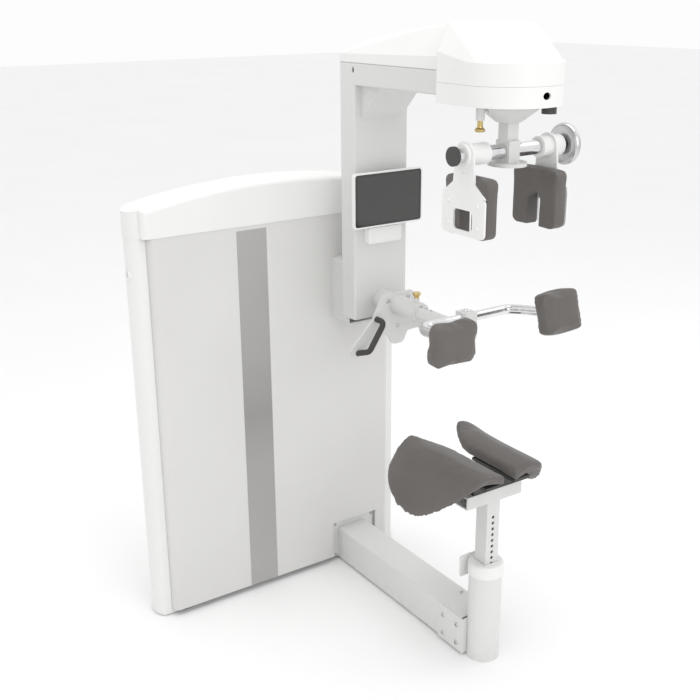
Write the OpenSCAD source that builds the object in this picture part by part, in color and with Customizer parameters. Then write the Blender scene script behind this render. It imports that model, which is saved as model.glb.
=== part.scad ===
// Seated neck training machine: weight-stack tower, base beam with a saddle seat
// on a telescopic post, column with an overhead arm carrying a turning head clamp,
// chest support bar with grab handles and a tablet screen.
// Units: mm. +Z up, +X from the tower towards the seat, +Y along the tower.
// Origin: on the floor at the axis of the seat pedestal.

/* [Tower] */
// Length of the tower housing along Y
tower_w = 951; // [850:1:1050]
// Depth of the tower housing along X
tower_d = 150; // [130:1:180]
// Height of the tower panels, up to the lid seam
tower_h = 1321; // [1250:1:1400]
// Far end of the tower, measured from the middle plane
tower_far = 192; // [185:1:230]
// Sheet thickness of the housing panels
sheet = 2.5; // [2:0.1:4]
// Width of the grey stripe on the front panel
stripe_w = 108; // [80:1:130]

/* [Beam and pedestal] */
// Distance from the front panel to the pedestal axis
reach = 746; // [700:1:800]
// Width of the base beam
beam_w = 120; // [100:1:130]
// Height of the base beam
beam_h = 128; // [110:1:140]
// Gap under the base beam
beam_clear = 5; // [3:1:12]
// Diameter of the pedestal tube
ped_d = 104; // [96:1:112]
// Height of the pedestal tube
ped_h = 300; // [280:1:320]

/* [Seat] */
// Width of the square seat post
post_w = 50; // [44:1:54]
// Height of the crossbar on the seat post
seat_z = 556; // [540:1:580]
// Thickness of the seat shells
seat_t = 32; // [24:1:38]

/* [Column and arm] */
// Width of the column along Y
col_w = 208; // [190:1:225]
// Depth of the column along X
col_d = 80; // [70:1:90]
// Gap between the front panel and the column
col_gap = 97; // [85:1:110]
// Underside of the overhead arm
arm_z = 1751; // [1700:1:1780]
// Height of the overhead arm
arm_h = 68; // [60:1:80]
// Wall of the column and arm
wall = 4; // [3:0.5:6]

/* [Drum and head clamp] */
// Turning axis of the head clamp, in front of the pedestal axis
head_x = 20; // [0:1:40]
// Radius of the drum housing
drum_r = 140; // [130:1:150]
// Diameter of the cross tube
tube_d = 40; // [34:1:42]
// Height of the cross tube axis
tube_z = 1613; // [1600:1:1625]
// Clear distance between the head pads
pad_gap = 204; // [196:1:230]
// Thickness of the head pads
pad_t = 44; // [36:1:46]
// Diameter of the handwheel
wheel_d = 118; // [100:1:130]

/* [Chest support and screen] */
// Height of the chest support tube
chest_z = 1058; // [1040:1:1080]
// Width of the chest pads
chest_pad_w = 150; // [130:1:170]
// Width of the screen
screen_w = 268; // [240:1:300]
// Height of the screen
screen_h = 176; // [160:1:200]

/* [Hidden] */
$fn = 96;
e = 0.01;
fit = 0.05;                       // radial running fit
gap = 0.3;                        // clearance between separate moving bodies
panel_x = -reach;                 // outer face of the front panel
back_x = panel_x - tower_d;       // outer face of the rear panel
near_y = tower_far - tower_w;     // near end of the housing
mid_y = (near_y + tower_far) / 2; // middle of the housing
mid_x = panel_x - tower_d / 2;
foot_h = 20;                      // clearance below the panels
base_t = 14;                      // tower base plate
col_back = panel_x + col_gap;
col_face = col_back + col_d;
col_bot = 1002;
arm_top = arm_z + arm_h;
drum_z0 = arm_z - 15;
drum_seam = drum_z0 + 54;
drum_sh = drum_z0 + 112;
drum_top = drum_z0 + 208;
drum_back = head_x - drum_r - 9;  // rear wall of the drum
lid_r = 2260;
lid_top = tower_h + 136;
up_w = 50;                        // upright width
up_far = tower_far - 40;          // far face of the far upright
up_near = near_y + 40;            // near face of the near upright
beam_z1 = beam_clear + beam_h;
flange_x = panel_x - 22;          // back of the beam flange
ped_r = ped_d / 2;
cap_h = 42;
cap_r = ped_r + 4;
post_z0 = 150;
post_z1 = seat_z;
bar_h = 41;
seat_zb = seat_z + bar_h + 42;    // underside of the shells beside the split
tube_r = tube_d / 2;
tube_y0 = -184; tube_y1 = 194;
clamp_l = -120; clamp_r = 150;    // middle of the clamp sleeves
sleeve_l = 80; sleeve_r = tube_r + 9;
plate_t = 6;
pad_in = pad_gap / 2;
pad_out = pad_in + pad_t;
pad_w = 183; pad_h = 169; pad_z0 = 1391;
spin_r = 17;                      // turning spindle
dish_z0 = 1689;
wheel_y = 200;
screw_r = 7;
plate_x = col_face + 87;          // back of the handle plate
ctube_r = 22;
csleeve_r = 32;
cbar_x = -130; cbar_z = chest_z + 42; cbar_r = 15;
cpad_x = 52; cpad_y = 196; cpad_z = chest_z + 60;
cend_x = -2; cend_y = 200; cend_z = chest_z + 56;
screen_z = 1399; screen_x = col_face + 42; piv_x = col_face + 18;
stack_y = mid_y;
plate_n = 12; plate_h = 30; plate_w = 330; stack_d = 104;
stack_z0 = foot_h + base_t + 22;
stack_z1 = stack_z0 + plate_n * plate_h;
rod_x = 28; rod_y = 120; rod_r = 10;    // guide rods stand diagonally, clear of the belt
belt_w = 25; belt_t = 3;
car_z0 = stack_z1 + 0.5; car_h = 40;
lift_h = 250;
pul_r = 45; pul_y = stack_y + 45 + 1.5 + 0.1; pul_z = tower_h - 110;
arm_pul_r = 28;

white = [0.88, 0.88, 0.87]; pale = [0.80, 0.80, 0.79]; grey = [0.62, 0.62, 0.61];
dark = [0.36, 0.34, 0.33]; black = [0.12, 0.12, 0.12]; steel = [0.75, 0.76, 0.78];
brass = [0.72, 0.62, 0.35]; iron = [0.30, 0.30, 0.32];

// rectangle with rounded corners from [x0,y0] to [x1,y1]
module rr(x0, y0, x1, y1, r) {
    translate([x0 + r, y0]) square([x1 - x0 - 2 * r, y1 - y0]);
    translate([x0, y0 + r]) square([x1 - x0, y1 - y0 - 2 * r]);
    for (x = [x0 + r, x1 - r], y = [y0 + r, y1 - r]) translate([x, y]) circle(r = r);
}
module box(x0, x1, y0, y1, z0, z1) { translate([x0, y0, z0]) cube([x1 - x0, y1 - y0, z1 - z0]); }
module cyl_x(x0, x1, y, z, r) { translate([x0, y, z]) rotate([0, 90, 0]) cylinder(r = r, h = x1 - x0); }
module cyl_y(y0, y1, x, z, r) { translate([x, y0, z]) rotate([-90, 0, 0]) cylinder(r = r, h = y1 - y0); }
module cyl_z(z0, z1, x, y, r) { translate([x, y, z0]) cylinder(r = r, h = z1 - z0); }
// prism drawn in the YZ plane, running along +X
module prism_x(x0, x1) { translate([x0, 0, 0]) rotate([90, 0, 90]) linear_extrude(x1 - x0) children(); }
// prism drawn in the XZ plane, running along +Y
module prism_y(y0, y1) { translate([0, y1, 0]) rotate([90, 0, 0]) linear_extrude(y1 - y0) children(); }
// round bar between two points
module bar(p, q, r) {
    d = q - p; l = norm(d);
    translate(p) rotate([0, acos(d[2] / l), atan2(d[1], d[0])]) cylinder(r = r, h = l);
}
// points of the arc that rounds the corner b between a and c
function unit(v) = v / norm(v);
function bend(a, b, c, r, n) = let (u = unit(a - b), w = unit(c - b), half = acos(u * w) / 2, o = b + unit(u + w) * (r / sin(half)), e0 = unit(b + u * (r / tan(half)) - o))
    [for (i = [0 : n]) let (k = i * (180 - 2 * half) / n) o + r * (e0 * cos(k) - u * sin(k))];
// outline whose corners [y, z, radius] are rounded
function rounded(p, n) = let (m = len(p)) [for (i = [0 : m - 1]) let (a = p[(i + m - 1) % m], b = p[i], c = p[(i + 1) % m]) each bend([a[0], a[1]], [b[0], b[1]], [c[0], c[1]], b[2], n)];
// run of a bent bar through its corners, each bent to radius r
function run(p, r, n) = [p[0], for (i = [1 : len(p) - 2]) each bend(p[i - 1], p[i], p[i + 1], r, n), p[len(p) - 1]];
// round bar along a run; up is any direction that the run never follows
module bent_bar(q, r, up, sides) {
    m = len(q);
    ring = [for (i = [0 : m - 1]) let (t = unit(q[min(i + 1, m - 1)] - q[max(i - 1, 0)]), a = unit(cross(t, up)), b = cross(a, t)) for (k = [0 : sides - 1]) q[i] + r * (a * cos(k * 360 / sides) - b * sin(k * 360 / sides))];
    polyhedron(points = ring, convexity = 6, faces = concat(
        [[for (k = [0 : sides - 1]) k]], [[for (k = [0 : sides - 1]) m * sides - 1 - k]],
        [for (i = [0 : m - 2]) for (k = [0 : sides - 1]) each [[i * sides + k, (i + 1) * sides + k, i * sides + (k + 1) % sides], [i * sides + (k + 1) % sides, (i + 1) * sides + k, (i + 1) * sides + (k + 1) % sides]]]));
}
// button head screw: axis along +Z from the face
module button(r, h) { translate([0, 0, -e]) cylinder(r = r * 0.5, h = h * 0.6); intersection() { translate([0, 0, h - r * 1.25]) sphere(r = r * 1.25); cylinder(r = r, h = h); } }

// ---------------------------------------------------------------- tower
// plan of the inner frame: it follows the rounded corners of the panels
module frame_in(g) rr(back_x + sheet + g, up_near + g, panel_x - sheet - g, up_far - g, 22 - sheet - g);
module tower_base() color(pale) {
    translate([0, 0, foot_h + 2]) linear_extrude(base_t) intersection() { frame_in(0); translate([back_x, near_y]) square([tower_d - 22, tower_w]); }
    for (y = [near_y + 60, tower_far - 80]) box(back_x + 20, panel_x - 30, y, y + 30, foot_h - 8, foot_h + 2);
}
module levelling_feet() color(dark)
    for (y = [near_y + 75, tower_far - 65], x = [back_x + 35, panel_x - 45]) {
        cyl_z(0, 8, x, y, 20); cyl_z(7, foot_h - 8, x, y, 6);
    }
module upright(y) translate([0, 0, foot_h + 2 + base_t]) linear_extrude(tower_h - 72 - base_t) difference() {
    intersection() { frame_in(0); translate([back_x, y]) square([tower_d, up_w]); }
    intersection() { frame_in(3); translate([back_x, y + 3]) square([tower_d, up_w - 6]); }
}
module upright_near() color(pale) upright(up_near);
module upright_far() color(pale) upright(up_far - up_w);
module top_beam() color(pale) difference() {
    translate([0, 0, tower_h - 50]) linear_extrude(48) frame_in(0);
    box(back_x + sheet + 3, panel_x - sheet - 3, up_near - 1, up_far + 1, tower_h - 47, tower_h - 5);
}
module panel_plan(front) {
    x0 = front ? panel_x - 60 : back_x; x1 = front ? panel_x : back_x + 60;
    y0 = near_y + 25; y1 = tower_far - 32;
    difference() {
        rr(x0, y0, x1, y1, 22);
        rr(x0 + sheet, y0 + sheet, x1 - sheet, y1 - sheet, 22 - sheet);
        if (front) translate([x0 - 1, y0 - 1]) square([37, y1 - y0 + 2]);
        else translate([x1 - 36, y0 - 1]) square([37, y1 - y0 + 2]);
    }
}
module front_panel() color(white) difference() {
    translate([0, 0, foot_h]) linear_extrude(tower_h - foot_h) panel_plan(true);
    box(panel_x - 10, panel_x + 1, -87, 102, foot_h - 1, 160);
}
module rear_panel() color(white) translate([0, 0, foot_h]) linear_extrude(tower_h - foot_h) panel_plan(false);
// convex end strip: outline bulges away from the housing
end_c = tower_d - 50; end_s = 22; end_r = (end_c * end_c / 4 + end_s * end_s) / (2 * end_s);
module end_plan(g) intersection() {
    translate([mid_x, end_r - end_s]) circle(r = end_r - g);
    translate([mid_x - end_c / 2 + g, -60]) square([end_c - 2 * g, 60 + 40]);
}
module end_cover(s) difference() {
    linear_extrude(tower_h - 3) end_plan(0);
    translate([0, 0, -1]) linear_extrude(tower_h + 2) difference() { end_plan(3); translate([mid_x - 100, 37]) square([200, 10]); }
}
plug_z = 1204;                    // round plug on the near end cover
module end_cover_near() color(white) difference() { translate([0, near_y, 3]) end_cover(); cyl_y(near_y - 60, near_y, mid_x + 8, plug_z, 15); }
module end_cover_far() color(white) translate([0, tower_far, 3]) mirror([0, 1, 0]) end_cover();
module lid_plan(g) {
    rr(back_x - 2 + g, near_y + 6 + g, panel_x + 2 - g, tower_far - 6 - g, 20 - g);
    translate([mid_x, near_y + end_r - end_s - 2]) intersection() { circle(r = end_r - g); translate([-end_c / 2 - 2 + g, -end_r]) square([end_c + 4 - 2 * g, 40]); }
    translate([mid_x, tower_far - end_r + end_s + 2]) intersection() { circle(r = end_r - g); translate([-end_c / 2 - 2 + g, end_r - 40]) square([end_c + 4 - 2 * g, 40]); }
}
module lid_disc(g) translate([back_x - 2 + g, mid_y, lid_top - lid_r]) rotate([0, 90, 0])
    rotate_extrude($fn = 360) intersection() {
        rr(-100, 0, lid_r - g, tower_d + 4 - 2 * g, 16 - g);
        translate([0, 0]) square([lid_r, tower_d + 10]);
    }
module top_lid() color(white) difference() {
    intersection() { translate([0, 0, tower_h]) linear_extrude(180) lid_plan(0); lid_disc(0); }
    intersection() { translate([0, 0, tower_h - 1]) linear_extrude(180) lid_plan(4); lid_disc(4); }
}
module accent_stripe() color(grey) box(panel_x, panel_x + 0.8, -437, -437 + stripe_w, foot_h + 1, tower_h - 14);
module end_plug() color(pale) difference() {
    cyl_y(near_y - end_s - 3, near_y - 6, mid_x + 8, plug_z, 15);
    cyl_y(near_y - end_s - 4, near_y - end_s + 1, mid_x + 8, plug_z, 9);
}
// ------------------------------------------------------- weight stack
module guide_rods() color(steel) for (s = [-1, 1]) cyl_z(foot_h + 2 + base_t, tower_h - 50, mid_x + s * rod_x, stack_y + s * rod_y, rod_r);
module stack_bumpers() color(black) for (s = [-1, 1]) difference() {
    cyl_z(foot_h + 2 + base_t, stack_z0, mid_x + s * rod_x, stack_y + s * rod_y, 20);
    cyl_z(foot_h, stack_z0 + 1, mid_x + s * rod_x, stack_y + s * rod_y, rod_r);
}
module weight_stack() color(iron) for (i = [0 : plate_n - 1]) difference() {
    box(mid_x - stack_d / 2, mid_x + stack_d / 2, stack_y - plate_w / 2, stack_y + plate_w / 2, stack_z0 + i * plate_h, stack_z0 + (i + 1) * plate_h - (i < plate_n - 1 ? 0 : 0));
    for (s = [-1, 1]) cyl_z(stack_z0 - 1, stack_z1 + 1, mid_x + s * rod_x, stack_y + s * rod_y, rod_r + 1);
    cyl_z(stack_z0 - 1, stack_z1 + 1, mid_x, stack_y, 14);
    // seam grooves and pin hole of each plate
    for (x = [-1, 1]) box(mid_x + x * stack_d / 2 - 1.5, mid_x + x * stack_d / 2 + 1.5, stack_y - plate_w, stack_y + plate_w, stack_z0 + (i + 1) * plate_h - 1.5, stack_z0 + (i + 1) * plate_h + 1);
    cyl_x(mid_x - stack_d, mid_x + stack_d, stack_y, stack_z0 + (i + 0.5) * plate_h, 5);
}
module weight_carriage() color(iron) {
    difference() {
        union() {
            box(mid_x - stack_d / 2, mid_x + stack_d / 2, stack_y - plate_w / 2, stack_y + plate_w / 2, car_z0, car_z0 + car_h);
            box(mid_x - 20, mid_x + 20, stack_y - 22, stack_y + 22, car_z0 + car_h - e, car_z0 + car_h + lift_h);
            cyl_z(stack_z0 + 2, car_z0 + e, mid_x, stack_y, 13);
        }
        for (s = [-1, 1]) cyl_z(car_z0 - 1, car_z0 + car_h + 1, mid_x + s * rod_x, stack_y + s * rod_y, rod_r + fit);
        box(mid_x - 14, mid_x + 14, stack_y - 16, stack_y + 16, car_z0 + car_h, car_z0 + car_h + lift_h + 1);
        for (i = [0 : plate_n - 1]) cyl_x(mid_x - 20, mid_x + 20, stack_y, stack_z0 + (i + 0.5) * plate_h, 5);
    }
}
module tower_pulley() color(dark) pulley(mid_x, pul_y, pul_z);
module pulley(x, y, z) difference() {
    union() {
        cyl_x(x - 15, x + 15, y, z, pul_r);
        cyl_x(x - 18, x - 15, y, z, pul_r + 6); cyl_x(x + 15, x + 18, y, z, pul_r + 6);
    }
    cyl_x(x - 20, x + 20, y, z, 8 + fit);
    for (a = [0 : 72 : 359]) translate([0, y, z]) rotate([a, 0, 0]) cyl_x(x - 20, x + 20, 26, 0, 9);
}
module pulley_bracket() color(pale) {
    y = pul_y;
    for (s = [-1, 1]) box(mid_x + s * 24 - 3, mid_x + s * 24 + 3, y - 22, y + 22, pul_z - 24, tower_h - 50);
    cyl_x(mid_x - 27, mid_x + 27, y, pul_z, 8);
}
module drive_belt() color(black) {
    // rising run into the carriage tube, wrap over the pulley, run towards the column
    x0 = mid_x - belt_w / 2; y = pul_y;
    box(x0, x0 + belt_w, y - pul_r - belt_t, y - pul_r - 0.1, car_z0 + car_h + lift_h - 30, pul_z + 1);
    difference() {
        cyl_x(x0, x0 + belt_w, y, pul_z, pul_r + belt_t);
        cyl_x(x0 - 1, x0 + belt_w + 1, y, pul_z, pul_r + 0.1);
        box(x0 - 1, x0 + belt_w + 1, y - 90, y + 90, pul_z - 90, pul_z);
        box(x0 - 1, x0 + belt_w + 1, y, y + 90, pul_z - 90, pul_z + 90);
    }
    box(x0, x0 + belt_w, y - 1, -40, pul_z + pul_r + 0.1, pul_z + pul_r + belt_t);
    box(x0, x0 + belt_w, -40 - belt_t, -40, pul_z + 34, pul_z + pul_r + belt_t);
}
// ------------------------------------------------------- column and arm
module column_backing() color(pale) {
    box(panel_x - sheet - 10, panel_x - sheet, -120, up_far - up_w, 900, pul_z + 30);
    // block that takes the belt end towards the column
    box(mid_x - 18, panel_x - sheet - 10, -50, -20, pul_z + 14, pul_z + 34);
}
module column_bracket() color(white) difference() {
    prism_x(panel_x, col_back) rr(-78, 953, 78, 1173, 14);
    box(panel_x - 1, col_back + 1, -78 + 6, 78 - 6, 961, 1165);
}
module column() color(white) difference() {
    intersection() {
        translate([0, 0, col_bot]) linear_extrude(arm_top - col_bot) rr(col_back, -col_w / 2, col_face, col_w / 2, 8);
        mitre(true);
    }
    translate([0, 0, col_bot - 1]) linear_extrude(arm_top) rr(col_back + wall, -col_w / 2 + wall, col_face - wall, col_w / 2 - wall, 4);
}
module mitre(lower) // wedge cut where the column meets the arm
    prism_y(-col_w, col_w) if (lower) polygon([[col_back - 50, 0], [col_face + 50, 0], [col_face + 50, arm_z - 50 * arm_h / col_d], [col_face, arm_z], [col_back, arm_top], [col_back - 50, arm_top + 50 * arm_h / col_d]]);
    else polygon([[col_back - 50, 3000], [col_face + 900, 3000], [col_face + 900, 0], [col_face + 50, 0], [col_face + 50, arm_z - 50 * arm_h / col_d], [col_face, arm_z], [col_back, arm_top], [col_back - 50, arm_top + 50 * arm_h / col_d]]);
module column_foot() color(white) {
    translate([0, 0, col_bot - 4]) linear_extrude(4) rr(col_back, -col_w / 2 - 1, col_face + 1, col_w / 2 + 1, 9);
    translate([0, 0, col_bot - e]) linear_extrude(14) difference() {
        rr(col_back + wall, -col_w / 2 + wall, col_face - wall, col_w / 2 - wall, 4);
        rr(col_back + 2 * wall, -col_w / 2 + 2 * wall, col_face - 2 * wall, col_w / 2 - 2 * wall, 3);
    }
}
module top_arm() color(white) difference() {
    intersection() {
        prism_x(col_back, drum_back + 40) rr(-col_w / 2, arm_z, col_w / 2, arm_top, 6);
        mitre(false);
    }
    difference() {
        box(col_back - 1, drum_back + 41, -col_w / 2 + wall, col_w / 2 - wall, arm_z + wall, arm_top - wall);
    }
    cyl_z(arm_z - 10, arm_z + 20, mid_x, 0, 1);
    prism_y(-col_w / 2 - 1, -col_w / 2 + wall + 1) translate([col_face - 5, arm_z + 46]) scale([0.6, 1]) circle(r = 9);
    // belt passage above the column
    box(col_back + 20, col_face - 10, -30, 30, arm_z - 60, arm_z + wall + 60);
}
module arm_gusset() color(pale) difference() {
    prism_y(-78, 78) polygon([[col_face, arm_z - 106], [col_face, arm_z], [col_face + 106, arm_z]]);
    prism_y(-73, 73) polygon([[col_face + 5, arm_z - 88], [col_face + 5, arm_z - 5], [col_face + 88, arm_z - 5]]);
}
module arm_cover_body(g) hull() {
    w = col_w / 2 - g;
    for (s = [-1, 1]) {
        translate([col_back + 6 + g, s * (w - 6), arm_top + (g ? -2 : 0)]) cylinder(r = 6, h = 24 - g, $fn = 32);
        translate([drum_back + 2 - (g ? -6 : 0), s * (w - 6), arm_top + (g ? -2 : 0)]) cylinder(r = 6, h = 36 - g, $fn = 32);
        translate([col_back + 62, s * (w - 40), arm_top + 50 - g]) sphere(r = 12, $fn = 32);
        translate([drum_back - 130, s * (w - 48), drum_top - 26 - g]) sphere(r = 12, $fn = 32);
        translate([drum_back + 4 + (g ? 6 : 0), s * (w - 54), drum_top - 18 - g]) sphere(r = 12, $fn = 32);
    }
}
module arm_cover() color(white) difference() {
    arm_cover_body(0);
    arm_cover_body(5);
    box(drum_back, drum_back + 200, -200, 200, arm_top - 10, drum_top + 50);
}
// ------------------------------------------------------- drum
module drum_plan(g) {
    translate([head_x, 0]) circle(r = drum_r - g);
    translate([drum_back + g, 0]) union() {
        translate([0, -drum_r + g + 14]) square([head_x - drum_back - g, 2 * drum_r - 2 * g - 28]);
        translate([14, -drum_r + g]) square([head_x - drum_back - g - 14, 2 * drum_r - 2 * g]);
        for (s = [-1, 1]) translate([14, s * (drum_r - g - 14)]) circle(r = 14);
    }
}
module drum_base() color(pale) difference() {
    translate([0, 0, drum_z0 + 6]) linear_extrude(9) drum_plan(5);
    cyl_z(drum_z0, drum_z0 + 20, head_x, 0, 42);
    for (a = [30 : 60 : 359]) translate([head_x, 0, drum_z0]) rotate([0, 0, a]) cyl_z(0, 20, 100, 0, 6);
}
module drum_ring() color(white) difference() {
    translate([0, 0, drum_z0]) linear_extrude(drum_seam - drum_z0) drum_plan(0);
    translate([0, 0, drum_z0 - 1]) linear_extrude(drum_seam - drum_z0 + 2) drum_plan(5);
    // window for the arm end
    box(drum_back - 1, drum_back + 6, -col_w / 2, col_w / 2, arm_z, arm_top);
    // oval port near the front
    translate([head_x, 0, 0]) translate([0, 0, drum_z0 + 30]) rotate([0, 90, 0]) scale([0.75, 1, 1]) cylinder(r = 13, h = drum_r + 5);
}
module drum_roof(g) hull() {
    for (k = [-1, 1]) {
        translate([drum_back + 14, k * (drum_r - 14), drum_sh - 4]) cylinder(r = 14 - g, h = 26 - g, $fn = 40);
        translate([drum_back + 12, k * 92, drum_sh]) cylinder(r = 12 - g, h = drum_top - drum_sh - g, $fn = 40);
    }
    translate([head_x, 0, 0]) rotate_extrude($fn = 96) polygon([[0, drum_sh - 4], [drum_r - 2 - g, drum_sh - 4], [drum_r - 7 - g, drum_sh + 3 - g], [66 - g, drum_top - 6 - g], [56 - g, drum_top - g], [0, drum_top - g]]);
}
module drum_cover() color(white) difference() {
    union() {
        translate([0, 0, drum_seam + 0.5]) linear_extrude(drum_sh - drum_seam - 0.5) drum_plan(0);
        drum_roof(0);
    }
    translate([0, 0, drum_seam - 1]) linear_extrude(drum_sh - drum_seam - 2) drum_plan(5);
    drum_roof(5);
    box(drum_back - 1, drum_back + 6, -col_w / 2, col_w / 2, arm_z, arm_top);
}
module drum_screws() color(steel) {
    for (p = [[drum_back + 30, -drum_r + 17], [drum_back + 62, -drum_r + 17], [drum_back + 30, drum_r - 17], [drum_back + 62, drum_r - 17]])
        translate([p[0], p[1], drum_z0 + 6 - e]) rotate([180, 0, 0]) button(6, 9);
}
module bearing_housing() color(steel) translate([head_x, 0, 0]) difference() {
    union() { cyl_z(drum_z0 + 15, drum_z0 + 25, 0, 0, 62); cyl_z(drum_z0 + 6, drum_z0 + 52, 0, 0, 42); }
    cyl_z(drum_z0, drum_z0 + 60, 0, 0, spin_r + fit);
}
module stop_button() color(steel) translate([head_x + 88, 60, 0]) {
    cyl_z(drum_z0 - 6, drum_z0 + 6 + e, 0, 0, 12);
    translate([0, 0, drum_z0 - 22]) difference() { cylinder(r = 20, h = 16); translate([0, 0, -1]) cylinder(r = 13, h = 5); }
}
module cam_pulley() color(dark) translate([head_x, 0, drum_z0 + 53]) difference() {
    union() {
        cylinder(r = 80, h = 26);
        translate([0, 0, -0.0]) cylinder(r = 86, h = 3); translate([0, 0, 23]) cylinder(r = 86, h = 3);
        cylinder(r = 30, h = 34);
    }
    translate([0, 0, -1]) cylinder(r = spin_r + 0.02 + gap, h = 40);
    for (a = [0 : 60 : 359]) rotate([0, 0, a]) translate([52, 0, -1]) cylinder(r = 14, h = 40);
}
// ------------------------------------------------------- turning head
module hub_dish() color(pale) translate([head_x, 0, 0]) difference() {
    union() {
        translate([0, 0, dish_z0]) rotate_extrude() polygon([[0, 0], [34, 0], [40, 4], [84, drum_z0 - dish_z0 - 9], [84, drum_z0 - dish_z0 - 3], [0, drum_z0 - dish_z0 - 3]]);
        cyl_z(drum_z0 - 4, drum_z0 + 92, 0, 0, spin_r);
    }
    for (a = [20 : 40 : 359]) rotate([0, 0, a]) translate([80, -9, drum_z0 - 20]) cube([20, 18, 8]);
    rotate([0, 0, plg_a]) cyl_z(drum_z0 - 40, drum_z0, plg_d, 0, 22);
}
plg_a = -97; plg_d = 92;         // index plunger position around the axis
module plunger_body() color(grey) translate([head_x, 0, 0]) rotate([0, 0, plg_a]) difference() {
    union() { cyl_z(drum_z0 - 38, drum_z0 - 4, plg_d, 0, 12); box(60, plg_d, -8, 8, drum_z0 - 20, drum_z0 - 8); }
    cyl_z(drum_z0 - 50, drum_z0, plg_d, 0, 5 + fit);
}
module plunger_knob() color(brass) translate([head_x, 0, 0]) rotate([0, 0, plg_a]) translate([plg_d, 0, 0]) {
    cyl_z(drum_z0 - 60, drum_z0 - 4, 0, 0, 5);
    translate([0, 0, drum_z0 - 68]) rotate_extrude() polygon([[0, 0], [12, 0], [14, 2], [14, 7], [9, 11], [7.5, 16], [7.5, 29.6], [0, 29.6]]);
}
module head_post() color(pale) {
    box(head_x - 19, head_x + 19, -19, 19, tube_z + tube_r + 4, dish_z0);
    difference() {
        box(head_x - 27, head_x + 27, -19, 19, tube_z - tube_r - 10, tube_z + tube_r + 8);
        cyl_y(-40, 40, head_x, tube_z, tube_r);
    }
}
module foot_plate() color(pale) difference() {
    translate([head_x, 0, tube_z - tube_r - 20]) linear_extrude(10) { scale([1, 0.86]) circle(r = 58); }
    for (s = [-1, 1]) cyl_z(tube_z - tube_r - 30, tube_z, head_x + s * 42, 0, 4);
}
module post_screws() color(steel) for (s = [-1, 1]) translate([head_x + s * 42, 0, tube_z - tube_r - 10]) { translate([0, 0, -12]) cylinder(r = 4, h = 12 + e); button(7, 5); }
module cross_tube() color(steel) difference() {
    cyl_y(tube_y0, tube_y1, head_x, tube_z, tube_r);
    cyl_y(tube_y0 - 1, tube_y1 + 1, head_x, tube_z, tube_r - 4);
    // slots for the nut pins, on the underside
    for (s = [-1, 1]) let (c = s < 0 ? clamp_l : clamp_r) box(head_x - 5, head_x + 5, s < 0 ? c - 14 : c - 31, s < 0 ? c + 31 : c + 14, tube_z - tube_r - 1, tube_z);
}
module tube_caps() color(dark) {
    difference() { union() { cyl_y(tube_y0 - 10, tube_y0, head_x, tube_z, tube_r + 6); cyl_y(tube_y0 - e, tube_y0 + 12, head_x, tube_z, tube_r - 4); } cyl_y(tube_y0 - 4, tube_y0 + 13, head_x, tube_z, screw_r + fit); }
    difference() { cyl_y(tube_y1 - 12, tube_y1, head_x, tube_z, tube_r - 4); cyl_y(tube_y1 - 13, tube_y1 + 1, head_x, tube_z, screw_r + fit); }
}
module lead_screw() color(steel) cyl_y(tube_y0 - 3, wheel_y + 11, head_x, tube_z, screw_r);
module handwheel() color(dark) translate([head_x, wheel_y, tube_z]) rotate([-90, 0, 0]) difference() {
    rotate_extrude() { translate([wheel_d / 2 - 11, 12]) circle(r = 11); square([wheel_d / 2 - 12, 12]); square([22, 22]); }
    translate([0, 0, -1]) cylinder(r = screw_r, h = 12);
}
// clamp sleeve with its nut inside the tube, joined by a pin through the slot
module sleeve(c) {
    difference() { cyl_y(c - sleeve_l / 2, c + sleeve_l / 2, head_x, tube_z, sleeve_r); cyl_y(c - 60, c + 60, head_x, tube_z, tube_r + fit); }
    difference() {
        union() { cyl_y(c - 12, c + 12, head_x, tube_z, tube_r - 4 - 0.4); translate([head_x, c, tube_z - sleeve_r + 2]) cylinder(r = 4, h = 12); }
        cyl_y(c - 20, c + 20, head_x, tube_z, screw_r + fit);
    }
}
module clamp_plate(yo, window, s) difference() {
    prism_y(yo, yo + plate_t) difference() {
        union() {
            translate([head_x, tube_z]) circle(r = sleeve_r + 8);
            polygon([[head_x - 37, tube_z], [head_x + 37, tube_z], [head_x + 44, 1540], [head_x + 88, 1506], [head_x - 88, 1506], [head_x - 44, 1540]]);
            rr(head_x - 88, pad_z0 + 7, head_x + 88, 1508, 16);
        }
        translate([head_x, tube_z]) circle(r = sleeve_r);
        if (window) rr(head_x - 39, 1412, head_x + 39, 1468, 12);
        else translate([head_x - 25, pad_z0 - 10]) square([50, 83]);
    }
}
module clamp_left() color(white) { sleeve(clamp_l); clamp_plate(-pad_out - plate_t, true); }
module clamp_right() color(white) { sleeve(clamp_r); clamp_plate(pad_out, false); }
module clamp_screws_left() color(steel) for (p = [[-60, 1486], [60, 1486], [-60, 1424], [60, 1424], [0, 1560]]) translate([head_x + p[0], -pad_out - plate_t, p[1]]) rotate([90, 0, 0]) button(6, 4);
module clamp_screws_right() color(steel) for (p = [[-60, 1486], [60, 1486], [-60, 1424], [60, 1424], [0, 1560]]) translate([head_x + p[0], pad_out + plate_t, p[1]]) rotate([-90, 0, 0]) button(6, 4);
module head_pad(y0, y1) difference() {
    prism_y(y0, y1) difference() {
        rr(head_x - pad_w / 2, pad_z0, head_x + pad_w / 2, pad_z0 + pad_h, 24);
        translate([head_x - 24, pad_z0 - 1]) square([48, 71]);
        translate([head_x, pad_z0 + 70]) circle(r = 24);
    }
}
module head_pad_left() color(dark) head_pad(-pad_out, -pad_in);
module head_pad_right() color(dark) head_pad(pad_in, pad_out);
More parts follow.
